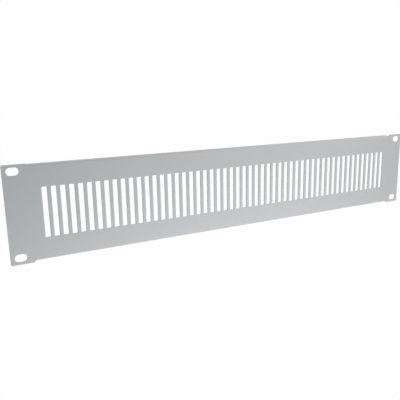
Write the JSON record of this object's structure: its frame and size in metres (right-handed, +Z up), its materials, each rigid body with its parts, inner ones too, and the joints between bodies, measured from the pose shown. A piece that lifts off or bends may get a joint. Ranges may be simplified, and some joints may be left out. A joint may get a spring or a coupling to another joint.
{
  "type": "ventilated rack blanking panel",
  "caption": "Flat sheet-steel face panel with slotted ears, a row of upright vents and folded-back long edges, for closing an unused bay at the front of an equipment rack.",
  "frame": {"origin": "on the rear face of the ears, midway between the four mounting slots", "axes": "+X along the panel to its right end seen from the front, +Z up, +Y from the front into the rack, so the front faces -Y"},
  "size_m": [0.4826, 0.01, 0.0882],
  "materials": {
    "light_grey_powder_coat": "fine-textured satin powder coat, light neutral grey, on folded steel sheet"
  },
  "bodies": {
    "root": {"blanking_panel": "light_grey_powder_coat"}
  },
  "joints": []
}
